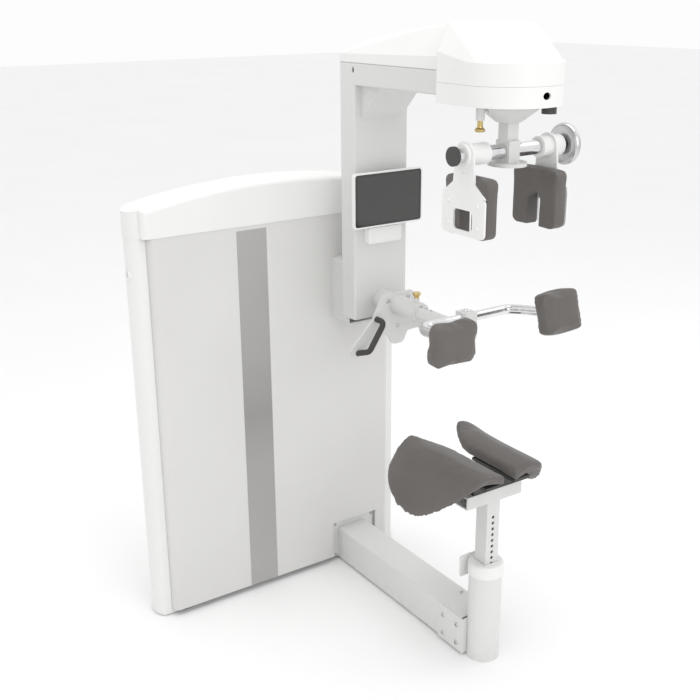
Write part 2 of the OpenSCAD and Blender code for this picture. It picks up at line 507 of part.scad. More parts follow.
// ------------------------------------------------------- screen and reader
module screen_arm() color(pale) {
    box(col_face, col_face + 6, -45, 45, screen_z - 45, screen_z + 45);
    difference() {
        union() { cyl_y(-26, -9, piv_x, screen_z, 9); cyl_y(9, 26, piv_x, screen_z, 9); for (s = [-1, 1]) box(col_face + 5, piv_x, s * 17.5 - 8.5, s * 17.5 + 8.5, screen_z - 9, screen_z + 9); }
        cyl_y(-30, 30, piv_x, screen_z, 4);
    }
}
module screen_case() color(white) {
    difference() {
        prism_x(screen_x - 12, screen_x) rr(-screen_w / 2, screen_z - screen_h / 2, screen_w / 2, screen_z + screen_h / 2, 12);
        prism_x(screen_x - 3, screen_x + 1) rr(-screen_w / 2 + 5, screen_z - screen_h / 2 + 5, screen_w / 2 - 5, screen_z + screen_h / 2 - 5, 9);
    }
    difference() {
        union() { cyl_y(-8.7, 8.7, piv_x, screen_z, 9); box(piv_x, screen_x - 12 + e, -8.7, 8.7, screen_z - 9, screen_z + 9); }
        cyl_y(-30, 30, piv_x, screen_z, 4 + fit);
    }
}
module screen_pin() color(steel) cyl_y(-26, 26, piv_x, screen_z, 4);
module screen_glass() color(black) prism_x(screen_x - 3, screen_x - 0.4) rr(-screen_w / 2 + 5, screen_z - screen_h / 2 + 5, screen_w / 2 - 5, screen_z + screen_h / 2 - 5, 9);
module reader_box() color(pale) prism_x(col_face, col_face + 22) rr(-66, 1252, 66, 1304, 8);
// ------------------------------------------------------- chest support
module chest_mount() color(pale) difference() {
    union() {
        cyl_x(col_face, plate_x + 132, 0, chest_z, csleeve_r);
        cyl_x(plate_x + 92, plate_x + 124, 0, chest_z, csleeve_r + 1.5);
        translate([plate_x + 108, 0, chest_z]) cylinder(r = 9, h = csleeve_r + 14);
    }
    cyl_x(col_face + 8, plate_x + 140, 0, chest_z, ctube_r + fit);
    translate([plate_x + 108, 0, chest_z]) cylinder(r = 5 + fit, h = 80);
}
module handle_plate() color(white) difference() {
    translate([0, 0, chest_z]) prism_x(plate_x, plate_x + 8) polygon(rounded([
        [-60, 41, 17], [60, 41, 17], [100, -40, 20], [192, -130, 18], [164, -160, 18], [84, -92, 20], [40, -96, 10], [22, -133, 18],
        [-22, -133, 18], [-40, -96, 10], [-84, -92, 20], [-164, -160, 18], [-192, -130, 18], [-100, -40, 20]], 6));
    cyl_x(plate_x - 1, plate_x + 9, 0, chest_z, csleeve_r);
}
module plate_bolts() color(steel) for (p = [[-40, 18], [42, 22], [0, -72]]) translate([plate_x + 8, p[0], chest_z + p[1]]) rotate([0, 90, 0]) button(8, 6);
// C-shaped grip standing off the plate
module grip(s) {
    a = [plate_x + 8 - 2, s * 84, chest_z - 36]; b = [plate_x + 50, s * 84, chest_z - 36];
    c = [plate_x + 50, s * 142, chest_z - 124]; d = [plate_x + 8 - 2, s * 158, chest_z - 138];
    difference() { bent_bar(run([a, b, c, d], 18, 5), 9.5, [0, 88, s * 58], 20);
        box(plate_x - 10, plate_x + 8, -220, 220, chest_z - 200, chest_z + 20); }
}
module grip_left() color(dark) grip(-1);
module grip_right() color(dark) grip(1);
module chest_tube() color(pale) difference() {
    cyl_x(plate_x - 10, cbar_x - 18, 0, chest_z, ctube_r);
    cyl_x(plate_x - 11, cbar_x - 30, 0, chest_z, ctube_r - 4);
    // guide groove and index holes on top
    box(plate_x + 10, cbar_x - 60, -2.5, 2.5, chest_z - ctube_r - 1, chest_z - ctube_r + 2);
    for (i = [-2 : 3]) translate([plate_x + 108 + i * 25, 0, chest_z]) cylinder(r = 5.6, h = 40);
}
module bar_clamp() color(pale) {
    difference() {
        union() {
            box(cbar_x - 24, cbar_x + 24, -22, 22, chest_z - 22, cbar_z + 20);
        }
        cyl_y(-30, 30, cbar_x, cbar_z, cbar_r);
        cyl_x(cbar_x - 40, cbar_x - 18, 0, chest_z, ctube_r);
    }
}
module clamp_bolt() color(steel) translate([cbar_x, 0, cbar_z + 20]) button(9, 7);
module chest_bar() color(steel) {
    half = [[cend_x - 9, cend_y, cend_z], [cbar_x + 40, cend_y - 14, cbar_z + 3], [cbar_x, cend_y - 40, cbar_z]];
    bent_bar(run(concat(half, [for (i = [2, 1, 0]) [half[i][0], -half[i][1], half[i][2]]]), 38, 5), cbar_r, [0, 0, 1], 24);
    for (s = [-1, 1]) {
        // barrel for the pad pivot
        difference() { cyl_y(s * cend_y - 20, s * cend_y + 20, cend_x, cend_z, 16); cyl_y(s * cend_y - 21, s * cend_y + 21, cend_x, cend_z, 6 + fit); }
    }
}
cp_tilt = [5, -16];               // forward tilt of the near and the far chest pad at rest
module pad_yoke(s) translate([cend_x, s * cend_y, cend_z]) {
    cyl_y(-27, 27, 0, 0, 6);
    rotate([0, s < 0 ? cp_tilt[0] : cp_tilt[1], 0]) {
        for (k = [-1, 1]) difference() { box(-12, 26, k * 23.5 - 3, k * 23.5 + 3, -14, 14); cyl_y(-30, 30, 0, 0, 6); }
        box(22, 28, -38, 38, -34, 34);
    }
}
module yoke_left() color(pale) pad_yoke(-1);
module yoke_right() color(pale) pad_yoke(1);
module chest_pad(s) translate([cend_x, s * cend_y, cend_z]) rotate([0, s < 0 ? cp_tilt[0] : cp_tilt[1], 0])
    prism_x(28, 28 + 48) rr(-chest_pad_w / 2, -65, chest_pad_w / 2, 65, 22);
module chest_pad_left() color(dark) chest_pad(-1);
module chest_pad_right() color(dark) chest_pad(1);
module chest_knob() color(brass) translate([plate_x + 108, 0, chest_z]) {
    cyl_z(ctube_r + 0.5, csleeve_r + 20, 0, 0, 5);
    translate([0, 0, csleeve_r + 14.3]) rotate_extrude() polygon([[0, 0], [8, 0], [8, 6], [13, 10], [13, 16], [11, 18], [0, 18]]);
}
// ------------------------------------------------------- beam and pedestal
module beam_flange() color(pale) box(flange_x, flange_x + 10, -84, 98, 12, 156);
module flange_bolts() color(black) for (p = [[-72, 145], [-72, 20], [88, 146], [76, 20]]) translate([flange_x + 10, p[0], p[1]]) rotate([0, 90, 0]) button(5.5, 5);
module base_beam() color(white) difference() {
    prism_x(flange_x + 10, -ped_r + 14) rr(-beam_w / 2, beam_clear, beam_w / 2, beam_z1, 8);
    prism_x(flange_x + 9, -ped_r + 15) rr(-beam_w / 2 + wall, beam_clear + wall, beam_w / 2 - wall, beam_z1 - wall, 4);
    cyl_z(-1, 400, 0, 0, ped_r);
}
module beam_saddle() color(white) {
    for (s = [-1, 1]) difference() {
        prism_y(s * (beam_w / 2 + 2.5) - 2.5, s * (beam_w / 2 + 2.5) + 2.5) polygon([[-150, beam_clear + 2], [-26, beam_clear + 2], [-26, beam_z1 - 2], [-60, beam_z1 - 2], [-150, beam_z1 - 2]]);
        cyl_z(-1, 400, 0, 0, ped_r);
    }
    // cheeks closing onto the pedestal tube
    for (s = [-1, 1]) difference() {
        box(-50, -26, s > 0 ? 20 : -beam_w / 2 - 5, s > 0 ? beam_w / 2 + 5 : -20, beam_clear + 2, beam_z1 - 2);
        cyl_z(-1, 400, 0, 0, ped_r);
        box(-200, -26 - 5, -beam_w / 2, beam_w / 2, 0, 200);
    }
}
module saddle_bolts() color(steel) {
    for (x = [-124, -56], z = [32, 99], s = [-1, 1]) translate([x, s * (beam_w / 2 + 5), z]) rotate([s > 0 ? -90 : 90, 0, 0]) button(9, 6);
    translate([-150, 36, beam_z1]) button(9, 6);
}
module pedestal() color(white) difference() {
    cyl_z(0, ped_h, 0, 0, ped_r);
    cyl_z(8, ped_h + 1, 0, 0, ped_r - 5);
}
module post_guide() color(black) difference() {
    cyl_z(ped_h - 60, ped_h, 0, 0, ped_r - 5);
    box(-post_w / 2 - gap, post_w / 2 + gap, -post_w / 2 - gap, post_w / 2 + gap, 0, ped_h + 1);
}
module pedestal_cap() color(white) difference() {
    translate([0, 0, ped_h]) rotate_extrude() polygon([[0, 0], [cap_r, 0], [cap_r, cap_h - 8], [cap_r - 3, cap_h - 2], [cap_r - 8, cap_h], [0, cap_h]]);
    box(-post_w / 2 - 1, post_w / 2 + 1, -post_w / 2 - 1, post_w / 2 + 1, 0, 500);
    cyl_x(-100, 0, 0, ped_h + 21, 5 + fit);
}
module lock_housing() color(white) difference() {
    union() {
        box(-cap_r - 5, -cap_r + 7, -16, 16, ped_h - 14, ped_h + cap_h - 4);
        prism_x(-cap_r - 8, -cap_r - 4) rr(-54, ped_h - 32, 54, ped_h + cap_h - 2, 6);
        cyl_x(-cap_r - 12, -cap_r - 7, 0, ped_h + 21, 12);
    }
    cyl_z(0, ped_h + 0, 0, 0, ped_r);
    cyl_z(ped_h, 500, 0, 0, cap_r);
    cyl_x(-200, 0, 0, ped_h + 21, 5 + fit);
}
module lock_pin() color(pale) {
    cyl_x(-cap_r - 22, -post_w / 2 - 0.5, 0, ped_h + 21, 5);
    cyl_x(-cap_r - 22, -cap_r - 12.3, 0, ped_h + 21, 10);
}
module seat_post() color(pale) difference() {
    box(-post_w / 2, post_w / 2, -post_w / 2, post_w / 2, post_z0, post_z1);
    box(-post_w / 2 + 3, post_w / 2 - 3, -post_w / 2 + 3, post_w / 2 - 3, post_z0 - 1, post_z1 + 1);
    for (i = [-8 : 9]) cyl_x(-post_w, post_w, 0, ped_h + 21 + i * 20, 5.4);
}
module seat_bar() color(pale) difference() {
    box(-28, 28, -108, 108, seat_z, seat_z + bar_h);
    box(-24, 24, -110, 110, seat_z + 4, seat_z + bar_h - 4);
}
// saddle shell surface: height over the plan position, one half, y > 0
xr = -270; xf = 97; ridge_y = 113;
function inner_y(x) = 20 + (x < -120 ? 76 * pow((-120 - x) / 165, 1.6) : 0);
function outer_y(x) = let (t = (x - xr) / (xf - xr)) ridge_y + 126 * pow(abs(sin(180 * pow(t, 0.60))), 0.57);
function drop(x) = 58 + 73 * exp(-pow((x + 29) / 176, 2));
function fall(u) = 1.1 * u * u / (u + 0.12);
function top_z(x, y) = seat_zb + seat_t + 16 * (y < ridge_y ? sin(90 * (y - 20) / (ridge_y - 20)) : 1) - (y > ridge_y ? drop(x) * fall((y - ridge_y) / 105) : 0) + (x < -180 ? 10 * pow((-180 - x) / 105, 2) : 0);
module shell_half(g, d) {
    nx = 28; ny = 14;
    function px(i) = xr + (xf - xr) * (0.5 - 0.5 * cos(180 * i / nx));
    function py(i, j) = let (x = px(i), a = inner_y(x), b = max(outer_y(x), a + 3)) a + (b - a) * j / ny;
    pts = concat([for (i = [0 : nx], j = [0 : ny]) [px(i), py(i, j), top_z(px(i), py(i, j)) - g]],
                 [for (i = [0 : nx], j = [0 : ny]) [px(i), py(i, j), top_z(px(i), py(i, j)) - g - d]]);
    m = ny + 1; n = (nx + 1) * m;
    faces = concat(
        [for (i = [0 : nx - 1], j = [0 : ny - 1]) [i * m + j, i * m + j + 1, (i + 1) * m + j + 1]],
        [for (i = [0 : nx - 1], j = [0 : ny - 1]) [i * m + j, (i + 1) * m + j + 1, (i + 1) * m + j]],
        [for (i = [0 : nx - 1], j = [0 : ny - 1]) [n + i * m + j, n + (i + 1) * m + j + 1, n + i * m + j + 1]],
        [for (i = [0 : nx - 1], j = [0 : ny - 1]) [n + i * m + j, n + (i + 1) * m + j, n + (i + 1) * m + j + 1]],
        [for (i = [0 : nx - 1]) [i * m, (i + 1) * m, n + (i + 1) * m]], [for (i = [0 : nx - 1]) [i * m, n + (i + 1) * m, n + i * m]],
        [for (i = [0 : nx - 1]) [i * m + ny, n + (i + 1) * m + ny, (i + 1) * m + ny]], [for (i = [0 : nx - 1]) [i * m + ny, n + i * m + ny, n + (i + 1) * m + ny]],
        [for (j = [0 : ny - 1]) [j, n + j + 1, j + 1]], [for (j = [0 : ny - 1]) [j, n + j, n + j + 1]],
        [for (j = [0 : ny - 1]) [nx * m + j, nx * m + j + 1, n + nx * m + j + 1]], [for (j = [0 : ny - 1]) [nx * m + j, n + nx * m + j + 1, n + nx * m + j]]);
    polyhedron(points = pts, faces = faces, convexity = 6);
}
module shell_cut() difference() { shell_half(0, seat_t); box(-110, 84, 24, 86, seat_zb - 10, seat_zb + 6); }
module seat_left() color(dark) mirror([0, 1, 0]) shell_cut();
module seat_right() color(dark) shell_cut();
// pan carrying both shells: feet on the crossbar, flat deck under the shells
module seat_pan() color(black) {
    for (s = [-1, 1]) {
        box(-26, 26, s * 56 - 26, s * 56 + 26, seat_z + bar_h, seat_zb - 3.9);
        box(-110, 84, s * 55 - 31, s * 55 + 31, seat_zb - 4, seat_zb + 6);
    }
    box(-26, 26, -40, 40, seat_z + bar_h, seat_z + bar_h + 6);
}

// ------------------------------------------------------- grouped pieces
module uprights() { upright_near(); upright_far(); }
module tower_top_beam() { top_beam(); pulley_bracket(); }
module end_covers() { end_cover_near(); end_cover_far(); }
module weight_plates() { weight_stack(); stack_bumpers(); }
module column_mount() { column_bracket(); column_backing(); }
module main_column() { column(); column_foot(); }
module overhead_arm() { top_arm(); arm_gusset(); }
module drum_floor() { drum_base(); bearing_housing(); }
module drum_fittings() { drum_screws(); stop_button(); }
module turning_hub() { hub_dish(); plunger_body(); }
module hanger_post() { head_post(); foot_plate(); post_screws(); }
module wheel_and_screw() { handwheel(); lead_screw(); }
module clamp_arm_left() { clamp_left(); clamp_screws_left(); }
module clamp_arm_right() { clamp_right(); clamp_screws_right(); }
module screen_bracket() { screen_arm(); screen_pin(); }
module chest_slide() { chest_tube(); bar_clamp(); }
module chest_crossbar() { chest_bar(); clamp_bolt(); }
module beam() { base_beam(); beam_flange(); }
module beam_bolts() { flange_bolts(); saddle_bolts(); }
module pedestal_tube() { pedestal(); beam_saddle(); }
module pedestal_head() { pedestal_cap(); lock_housing(); post_guide(); }
module seat_column() { seat_post(); seat_bar(); }

tower_base();
levelling_feet();
uprights();
tower_top_beam();
front_panel();
rear_panel();
end_covers();
top_lid();
accent_stripe();
end_plug();
guide_rods();
weight_plates();
weight_carriage();
tower_pulley();
drive_belt();
column_mount();
main_column();
overhead_arm();
arm_cover();
drum_floor();
drum_ring();
drum_cover();
drum_fittings();
cam_pulley();
turning_hub();
plunger_knob();
hanger_post();
cross_tube();
tube_caps();
wheel_and_screw();
clamp_arm_left();
clamp_arm_right();
head_pad_left();
head_pad_right();
screen_bracket();
screen_case();
screen_glass();
reader_box();
chest_mount();
handle_plate();
plate_bolts();
grip_left();
grip_right();
chest_slide();
chest_crossbar();
yoke_left();
yoke_right();
chest_pad_left();
chest_pad_right();
chest_knob();
beam();
beam_bolts();
pedestal_tube();
pedestal_head();
lock_pin();
seat_column();
seat_pan();
seat_left();
seat_right();
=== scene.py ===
"""Neck training station: finishes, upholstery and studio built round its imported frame."""

import logging
import math
from dataclasses import dataclass, field
from enum import Enum
from typing import Callable, Dict, List, Optional, Sequence, Tuple, Union

import bmesh
import bpy
from mathutils import Matrix, Vector


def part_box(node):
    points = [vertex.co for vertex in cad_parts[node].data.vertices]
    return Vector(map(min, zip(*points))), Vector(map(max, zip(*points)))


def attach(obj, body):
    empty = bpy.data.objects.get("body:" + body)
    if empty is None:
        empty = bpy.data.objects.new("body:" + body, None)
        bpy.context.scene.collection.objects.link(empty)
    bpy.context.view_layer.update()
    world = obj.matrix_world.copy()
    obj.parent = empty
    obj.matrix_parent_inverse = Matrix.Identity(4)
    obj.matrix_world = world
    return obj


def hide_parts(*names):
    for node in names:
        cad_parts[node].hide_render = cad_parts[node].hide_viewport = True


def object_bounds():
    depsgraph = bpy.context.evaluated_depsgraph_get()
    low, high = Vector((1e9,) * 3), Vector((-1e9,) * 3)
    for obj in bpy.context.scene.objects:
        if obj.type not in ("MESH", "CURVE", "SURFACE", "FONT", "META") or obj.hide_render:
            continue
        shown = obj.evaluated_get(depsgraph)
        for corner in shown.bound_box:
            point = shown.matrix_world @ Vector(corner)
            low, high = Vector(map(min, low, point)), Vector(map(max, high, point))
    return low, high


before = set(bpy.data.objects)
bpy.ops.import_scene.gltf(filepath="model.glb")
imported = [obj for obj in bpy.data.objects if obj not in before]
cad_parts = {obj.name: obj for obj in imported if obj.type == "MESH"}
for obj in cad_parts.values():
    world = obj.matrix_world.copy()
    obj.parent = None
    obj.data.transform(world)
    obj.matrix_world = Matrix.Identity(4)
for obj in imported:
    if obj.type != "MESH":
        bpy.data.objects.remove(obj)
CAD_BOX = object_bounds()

LOG = logging.getLogger("station")
COORDS = "Object"

Number = Union[int, float]
Colour = Tuple[float, float, float]
Point = Tuple[float, float, float]


# ----------------------------------------------------------------- shader maths
class Signal:
    """A value that varies over a surface, held as one output socket of a node tree."""

    def __init__(self, tree: "FinishTree", socket: bpy.types.NodeSocket) -> None:
        """Keeps the tree and the socket.

        Args:
            tree: The tree that new nodes go into.
            socket: The output socket that carries the value.
        """
        self.tree = tree
        self.socket = socket

    def _math(self, operation: str, *values: Union["Signal", Number]) -> "Signal":
        """Adds one Math node.

        Args:
            operation: The node's operation.
            values: Its inputs, in order.

        Returns:
            The node's value.
        """
        sockets = {index: value for index, value in enumerate(values)}
        return self.tree.add("ShaderNodeMath", {"operation": operation}, sockets, 0)

    def __add__(self, other: Union["Signal", Number]) -> "Signal":
        """Sum."""
        return self._math("ADD", self, other)

    def __radd__(self, other: Number) -> "Signal":
        """Sum with the number first."""
        return self._math("ADD", other, self)

    def __sub__(self, other: Union["Signal", Number]) -> "Signal":
        """Difference."""
        return self._math("SUBTRACT", self, other)

    def __rsub__(self, other: Number) -> "Signal":
        """Difference with the number first."""
        return self._math("SUBTRACT", other, self)

    def __mul__(self, other: Union["Signal", Number]) -> "Signal":
        """Product."""
        return self._math("MULTIPLY", self, other)

    def __rmul__(self, other: Number) -> "Signal":
        """Product with the number first."""
        return self._math("MULTIPLY", other, self)

    def __truediv__(self, other: Union["Signal", Number]) -> "Signal":
        """Quotient."""
        return self._math("DIVIDE", self, other)

    def __rtruediv__(self, other: Number) -> "Signal":
        """Quotient with the number first."""
        return self._math("DIVIDE", other, self)

    def __pow__(self, other: Number) -> "Signal":
        """Power."""
        return self._math("POWER", self, other)

    def __gt__(self, other: Union["Signal", Number]) -> "Signal":
        """One where this is greater, else zero."""
        return self._math("GREATER_THAN", self, other)

    def __lt__(self, other: Union["Signal", Number]) -> "Signal":
        """One where this is less, else zero."""
        return self._math("LESS_THAN", self, other)

    def ramp(self, low: Number, high: Number) -> "Signal":
        """Rises smoothly from 0 at low to 1 at high.

        Args:
            low: Where the rise starts.
            high: Where it ends.

        Returns:
            The eased value.
        """
        return self.tree.add(
            "ShaderNodeMapRange",
            {"interpolation_type": "SMOOTHSTEP", "clamp": True},
            {0: self, 1: low, 2: high, 3: 0.0, 4: 1.0},
            0,
        )


class FinishTree:
    """The node tree of one finish, with its Principled shader and its object coordinates."""

    def __init__(self, name: str) -> None:
        """Starts a material with a Principled shader.

        Args:
            name: The material's name.
        """
        self.material = bpy.data.materials.new(name)
        self.material.use_nodes = True
        self.nodes = self.material.node_tree.nodes
        self.links = self.material.node_tree.links
        self.shader = next(n for n in self.nodes if n.type == "BSDF_PRINCIPLED")
        place = self.nodes.new("ShaderNodeTexCoord")
        self.place = Signal(self, place.outputs[COORDS])

    def add(
        self,
        kind: str,
        settings: Dict[str, object],
        sockets: Dict[Union[int, str], object],
        out: Union[int, str],
    ) -> Signal:
        """Adds a node.

        Args:
            kind: The node's type.
            settings: Its settings, set before its sockets. "stops" is a ramp's list of (place, colour).
            sockets: The value or link of each input.
            out: The output wanted.

        Returns:
            That output.
        """
        node = self.nodes.new(kind)
        for name, value in settings.items():
            if name == "stops":
                self._set_stops(node, value)
            else:
                setattr(node, name, value)
        for key, value in sockets.items():
            if isinstance(value, Signal):
                self.links.new(value.socket, node.inputs[key])
            else:
                node.inputs[key].default_value = value
        return Signal(self, node.outputs[out])

    @staticmethod
    def _set_stops(node: bpy.types.Node, stops: Sequence[Tuple[float, Colour]]) -> None:
        """Sets a colour ramp's stops.

        Args:
            node: The ramp.
            stops: Places and colours, two or more.
        """
        elements = node.color_ramp.elements
        while len(elements) < len(stops):
            elements.new(0.5)
        for element, (at, colour) in zip(elements, stops):
            element.position = at
            element.color = (*colour, 1.0)

    def axis(self, name: str) -> Signal:
        """One coordinate of the object's own space, in metres.

        Args:
            name: X, Y or Z.

        Returns:
            The coordinate.
        """
        return self.add("ShaderNodeSeparateXYZ", {}, {0: self.place}, name)

    def scaled(self, scale: Point, turn: Point = (0.0, 0.0, 0.0)) -> Signal:
        """Object coordinates, stretched and turned.

        Args:
            scale: Factor along each axis.
            turn: Turn about each axis, in radians.

        Returns:
            The coordinates.
        """
        return self.add("ShaderNodeMapping", {}, {"Vector": self.place, "Rotation": turn, "Scale": scale}, 0)

    def noise(self, scale: float, detail: float = 2.0, at: Optional[Signal] = None, rough: float = 0.5) -> Signal:
        """Soft cloud pattern from 0 to 1.

        Args:
            scale: Features per metre, about.
            detail: Octaves.
            at: Coordinates, the object's own if left out.
            rough: How much the fine octaves count.

        Returns:
            The pattern.
        """
        return self.add(
            "ShaderNodeTexNoise",
            {},
            {"Vector": at or self.place, "Scale": scale, "Detail": detail, "Roughness": rough},
            0,
        )

    def cells(self, scale: float, feature: str = "F1", at: Optional[Signal] = None) -> Signal:
        """Distance pattern of scattered cells.

        Args:
            scale: Cells per metre.
            feature: The pattern's kind.
            at: Coordinates, the object's own if left out.

        Returns:
            The distance.
        """
        return self.add("ShaderNodeTexVoronoi", {"feature": feature}, {"Vector": at or self.place, "Scale": scale}, "Distance")

    def blend(self, factor: Union[Signal, Number], first: object, second: object) -> Signal:
        """Mixes two colours.

        Args:
            factor: 0 gives the first and 1 the second.
            first: Colour or signal.
            second: Colour or signal.

        Returns:
            The mixed colour.
        """
        colours = {i: (c if isinstance(c, Signal) else (*c, 1.0)) for i, c in ((6, first), (7, second))}
        return self.add("ShaderNodeMix", {"data_type": "RGBA"}, {0: factor, **colours}, 2)

    def bump(self, height: Signal, strength: float, depth: float, below: Optional[Signal] = None) -> Signal:
        """Turns a height into a surface normal.

        Args:
            height: The pattern.
            strength: From 0 to 1.
            depth: The pattern's depth in metres.
            below: A coarser bump that this one lies on.

        Returns:
            The normal.
        """
        sockets: Dict[Union[int, str], object] = {"Height": height, "Strength": strength, "Distance": depth}
        if below is not None:
            sockets["Normal"] = below
        return self.add("ShaderNodeBump", {}, sockets, 0)

    def set(self, **values: object) -> bpy.types.Material:
        """Sets the shader's sockets, named in lower case with underscores.

        Args:
            values: A constant or a signal for each socket.

        Returns:
            The finished material.
        """
        for name, value in values.items():
            socket = self.shader.inputs[" ".join(w if w == "IOR" else w.capitalize() for w in name.split("_"))]
            if isinstance(value, Signal):
                self.links.new(value.socket, socket)
            elif isinstance(value, tuple) and len(value) == 3 and socket.type == "RGBA":
                socket.default_value = (*value, 1.0)
            else:
                socket.default_value = value
        return self.material


# --------------------------------------------------------------------- finishes
def shade(colour: Colour, factor: float) -> Colour:
    """Darkens or lightens a colour.

    Args:
        colour: Linear colour.
        factor: Multiplier.

    Returns:
        The new colour.
    """
    return (colour[0] * factor, colour[1] * factor, colour[2] * factor)


@dataclass(frozen=True)
class PowderCoat:
    """Sprayed coat on steel: fine orange peel, faint tone drift, handled patches, and optional painted shade
    towards the floor.
    """

    name: str
    colour: Colour
    rough: float = 0.42
    peel: float = 0.00006
    # Turns on painted shade: darker in patches over the lowest 11 cm, towards the floor.
    shade_near_floor: bool = False

    def make(self) -> bpy.types.Material:
        """Builds the material."""
        t = FinishTree(self.name)
        drift = t.noise(2.3, 3.0)
        speck = t.noise(1900.0, 2.0)
        tone = t.blend((drift * 0.75 + speck * 0.25).ramp(0.25, 0.75), shade(self.colour, 0.965), shade(self.colour, 1.03))
        if self.shade_near_floor:
            # painted shade: darker in patches over the lowest 11 cm, towards the floor
            floor_shade_mask = (1 - t.axis("Z").ramp(0.0, 0.11)) * t.noise(38.0, 4.0).ramp(0.35, 0.75)
            tone = t.blend(floor_shade_mask * 0.35, tone, shade(self.colour, 0.8))
        peel = t.bump(t.noise(520.0, 2.0), 0.35, self.peel)
        fine = t.bump(t.noise(2600.0, 1.0), 0.18, self.peel / 3, peel)
        handled = t.noise(14.0, 4.0, rough=0.6)
        return t.set(
            base_color=tone,
            roughness=handled * 0.16 + (self.rough - 0.08) + speck * 0.04,
            normal=fine,
            specular_IOR_level=0.45,
        )


@dataclass(frozen=True)
class MouldedShell:
    """Satin moulded cover: very fine grain, flow marks and a soft gloss."""

    name: str
    colour: Colour
    rough: float = 0.34
    grain: float = 0.00003

    def make(self) -> bpy.types.Material:
        """Builds the material."""
        t = FinishTree(self.name)
        flow = t.noise(4.0, 2.0, at=t.scaled((1.0, 1.0, 0.35)))
        tone = t.blend(flow.ramp(0.2, 0.8), shade(self.colour, 0.975), shade(self.colour, 1.02))
        grain = t.bump(t.cells(1500.0), 0.22, self.grain)
        wave = t.bump(t.noise(9.0, 1.0), 0.25, 0.0004, grain)
        polish = t.noise(22.0, 5.0, rough=0.65)
        return t.set(base_color=tone, roughness=polish * 0.14 + (self.rough - 0.06), normal=wave, specular_IOR_level=0.5)


@dataclass(frozen=True)
class BrushedFilm:
    """Long vertical strip of brushed film, darker in a slow band."""

    name: str
    colour: Colour

    def make(self) -> bpy.types.Material:
        """Builds the material."""
        t = FinishTree(self.name)
        streaks = t.noise(34.0, 5.0, at=t.scaled((60.0, 60.0, 0.9)), rough=0.7)
        height = t.axis("Z")
        band = t.add(
            "ShaderNodeValToRGB",
            {"stops": [(0.0, shade(self.colour, 1.14)), (0.36, shade(self.colour, 1.0)), (0.5, shade(self.colour, 0.78)), (0.66, shade(self.colour, 1.02)), (1.0, shade(self.colour, 1.16))]},
            {0: height / 1.34},
            0,
        )
        tone = t.blend(streaks.ramp(0.3, 0.7) * 0.3, band, shade(self.colour, 1.35))
        return t.set(base_color=tone, metallic=0.35, roughness=streaks * 0.2 + 0.34, normal=t.bump(streaks, 0.25, 0.00005))


@dataclass(frozen=True)
class Hide:
    """Upholstery skin: pebbled grain over shallow creases, with a dull sheen."""

    name: str
    colour: Colour
    rough: float = 0.5
    pebble: float = 620.0

    def make(self) -> bpy.types.Material:
        """Builds the material."""
        t = FinishTree(self.name)
        warp = t.noise(70.0, 2.0)
        pebble = t.cells(self.pebble, "SMOOTH_F1")
        creases = t.cells(self.pebble * 0.45, "DISTANCE_TO_EDGE")
        wear = t.noise(6.0, 4.0, rough=0.6)
        tone = t.blend(wear.ramp(0.3, 0.75), shade(self.colour, 0.9), shade(self.colour, 1.12))
        # painted shade: darker in the hollows between the pebbles
        tone = t.blend(pebble.ramp(0.1, 0.75) * 0.3, tone, shade(self.colour, 0.72))
        soft = t.bump(warp, 0.25, 0.0006)
        grain = t.bump(1 - pebble, 0.32, 0.00022, soft)
        fold = t.bump(creases.ramp(0.0, 0.12), 0.14, 0.0002, grain)
        return t.set(
            base_color=tone,
            roughness=pebble * 0.14 + wear * 0.12 + (self.rough - 0.1),
            normal=fold,
            specular_IOR_level=0.42,
            sheen_weight=0.12,
            sheen_roughness=0.5,
        )


@dataclass(frozen=True)
class BareMetal:
    """Polished, plated or turned metal with fine hairlines and smears."""

    name: str
    colour: Colour
    rough: float = 0.16
    hairs: Point = (1.0, 1.0, 1.0)

    def make(self) -> bpy.types.Material:
        """Builds the material."""
        t = FinishTree(self.name)
        hair = t.noise(700.0, 3.0, at=t.scaled(self.hairs), rough=0.7)
        smear = t.noise(26.0, 4.0, rough=0.6)
        tone = t.blend(smear.ramp(0.3, 0.8), self.colour, shade(self.colour, 0.88))
        return t.set(base_color=tone, metallic=1.0, roughness=smear * 0.12 + hair * 0.08 + (self.rough - 0.06), normal=t.bump(hair, 0.12, 0.00003))


@dataclass(frozen=True)
class Rubber:
    """Matt grip or belt rubber with a pebbled skin."""

    name: str
    colour: Colour
    rough: float = 0.62
    ribs: float = 0.0

    def make(self) -> bpy.types.Material:
        """Builds the material."""
        t = FinishTree(self.name)
        skin = t.cells(1400.0)
        worn = t.noise(30.0, 3.0)
        tone = t.blend(worn.ramp(0.35, 0.8), self.colour, shade(self.colour, 1.35))
        normal = t.bump(skin, 0.3, 0.00008)
        if self.ribs:
            wave = t.add("ShaderNodeTexWave", {"bands_direction": "Z"}, {"Vector": t.place, "Scale": self.ribs}, 1)
            normal = t.bump(wave, 0.4, 0.0004, normal)
        return t.set(base_color=tone, roughness=worn * 0.18 + (self.rough - 0.08), normal=normal)


@dataclass(frozen=True)
class CastIron:
    """Painted cast weight: sandy skin and rubbed edges."""

    name: str
    colour: Colour

    def make(self) -> bpy.types.Material:
        """Builds the material."""
        t = FinishTree(self.name)
        sand = t.noise(900.0, 5.0, rough=0.7)
        patch = t.noise(17.0, 4.0, rough=0.65)
        tone = t.blend(patch.ramp(0.3, 0.8), self.colour, shade(self.colour, 1.5))
        return t.set(base_color=tone, metallic=0.2, roughness=patch * 0.2 + 0.45, normal=t.bump(sand, 0.45, 0.0003))


